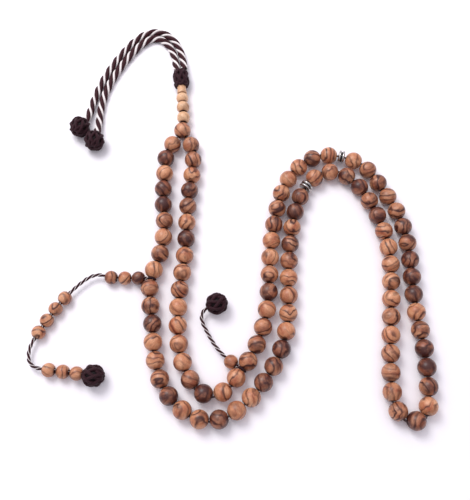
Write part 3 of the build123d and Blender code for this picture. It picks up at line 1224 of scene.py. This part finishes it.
@dataclass
class Tassel:
    """The two twisted ropes that leave the head knot, each ending in a ball knot."""

    finishes: Finishes
    rope: TwistedCord = TwistedCord(diameter=3.6 * MM, lay=13.2 * MM, white_share=0.31)
    knot_radius: float = 5.2 * MM

    def build_rope(self, side: str, route: Sequence[tuple[float, float, float]]) -> None:
        """Twist one rope and tie its knot.

        Args:
            side: Which rope, inner or outer.
            route: The corners of its route.
        """
        line = spline_line(socketed(route))
        rope = link_piece(
            f"tassel_rope_{side}_twisted",
            self.rope.mesh(line),
            self.finishes.dark_yarn,
            self.finishes.white_yarn,
        )
        settle(rope, f"tassel_rope_{side}")
        knot = ball_knot(
            f"tassel_knot_{side}",
            (line[-8] - line[-1]).normalized(),
            self.finishes,
            self.knot_radius,
        )

    def build(self) -> None:
        """Build both ropes."""
        self.build_rope("inner", INNER_ROPE_ROUTE)
        self.build_rope("outer", OUTER_ROPE_ROUTE)


@dataclass
class CounterStrings:
    """Two thin cords tied to the main thread, with small sliding beads and a ball knot each."""

    finishes: Finishes
    cord: TwistedCord = TwistedCord(diameter=1.6 * MM, lay=6.2 * MM, white_share=0.18)
    knot_radius: float = 5.0 * MM
    bead_diameter: float = 6.0 * MM
    bead_bore: float = 2.3 * MM
    dark_beads: tuple[int, ...] = (1,)
    brown_beads: tuple[int, ...] = (3,)
    tie_radius: float = 1.6 * MM
    tie_sides: int = 48

    def build_bead(self, kind: WoodBead, number: int) -> bpy.types.Object:
        """Thread one counter bead.

        Args:
            kind: The small bead to copy.
            number: Its number from the first string's tie.

        Returns:
            The bead.
        """
        node = f"counter_bead_{number:02d}"
        tone = WoodTone.TAN
        if number in self.dark_beads:
            tone = WoodTone.HEARTWOOD
        elif number in self.brown_beads:
            tone = WoodTone.BROWN
        seed = COUNTER_SEEDS + number
        return kind.add(f"{node}_turned", node, bores_of(node)[0], seed, tone, "small_veined_wood")

    def build_tie(self, side: str, before: str, after: str) -> None:
        """Wind the cord's end round the thread.

        Args:
            side: Which string, left or right.
            before: The CAD bead before the tie.
            after: The CAD bead after it.
        """
        node = f"counter_tie_{side}"
        centre = middle_of(node)
        along = (middle_of(after) - middle_of(before)).normalized()
        strand = Strand(0.44 * MM, 12, 1.4 * MM)
        angles = [math.tau * step / self.tie_sides for step in range(self.tie_sides)]
        flats = [Vector((math.cos(angle), math.sin(angle), 0)) for angle in angles]
        work = bmesh.new()
        strand.add_to(work, [flat * self.tie_radius for flat in flats], flats, closed=True)
        bmesh.ops.recalc_face_normals(work, faces=work.faces)
        mesh = bpy.data.meshes.new(node)
        work.to_mesh(mesh)
        work.free()
        mesh.transform(Bore(centre, along).placed())
        settle(link_piece(f"{node}_wound", mesh, self.finishes.knot_yarn), node)

    def build_string(
        self,
        side: str,
        route: Sequence[tuple[float, float, float]],
    ) -> None:
        """Twist one counter cord and tie its knot.

        Args:
            side: Which string, left or right.
            route: The corners of its route.
        """
        node = f"counter_cord_{side}"
        line = spline_line(socketed(route))
        cord = link_piece(
            f"{node}_twisted", self.cord.mesh(line), self.finishes.dark_yarn, self.finishes.white_yarn
        )
        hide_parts(node)
        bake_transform(cord)
        LOG.info("%s: %d faces", cord.name, len(cord.data.polygons))
        knot = ball_knot(
            f"counter_knot_{side}",
            (line[-8] - line[-1]).normalized(),
            self.finishes,
            self.knot_radius,
        )

    def build(self) -> None:
        """Build both strings."""
        kind = WoodBead(self.bead_diameter, self.bead_bore, self.finishes.wood)
        beads = [self.build_bead(kind, number) for number in range(1, 12)]
        self.build_tie("left", "bead_009", "bead_010")
        self.build_tie("right", "bead_082", "bead_083")
        self.build_string(
            "left", COUNTER_LEFT_ROUTE
        )
        self.build_string(
            "right", COUNTER_RIGHT_ROUTE
        )


@dataclass
class Dividers:
    """The two plated discs that part the hundred beads: bright rims and a tarnished groove."""

    finishes: Finishes
    radius: float = 3.0 * MM
    half_thickness: float = 1.45 * MM
    groove_radius: float = 2.3 * MM
    bore: float = 1.0 * MM

    def profile(self) -> list[tuple[float, float]]:
        """The disc's section, once round it.

        Returns:
            Height and radius of each point.
        """
        rim = 0.55 * MM
        middle = self.half_thickness - rim - 0.08 * MM
        arc = [math.radians(-80 + 20 * step) for step in range(10)]
        right = [
            (middle + rim * math.sin(a), self.radius - rim + rim * math.cos(a)) for a in arc
        ]
        hub = [(self.half_thickness, self.radius - 1.1 * MM), (self.half_thickness, self.bore + 0.15 * MM),
               (self.half_thickness - 0.12 * MM, self.bore)]
        right = [(0.12 * MM, self.groove_radius), *right, *hub]
        return [(-height, radius) for height, radius in reversed(right)] + right

    def build(self) -> None:
        """Turn both discs."""
        for side, before, after in (("left", "bead_033", "bead_034"), ("right", "bead_067", "bead_068")):
            node = f"divider_{side}"
            along = (middle_of(after) - middle_of(before)).normalized()
            mesh = turned_mesh(self.profile(), 64)
            for face in mesh.polygons:
                middle = face.center
                if abs(middle.z) < 0.3 * MM and math.hypot(middle.x, middle.y) > self.bore * 1.5:
                    face.material_index = 1
            mesh.transform(Bore(middle_of(node), along).placed())
            disc = link_piece(f"{node}_disc", mesh, self.finishes.plating, self.finishes.tarnish)
            settle(disc, node)


def main() -> None:
    """Build the studio and then every sub-assembly."""
    logging.basicConfig(level=logging.INFO, format="%(message)s")
    Studio().build()
    finishes = Finishes()
    Tassel(finishes).build()
    CounterStrings(finishes).build()
    MainStrand(finishes).build()
    Neck(finishes).build()
    Dividers(finishes).build()


if __name__ == "__main__":
    main()
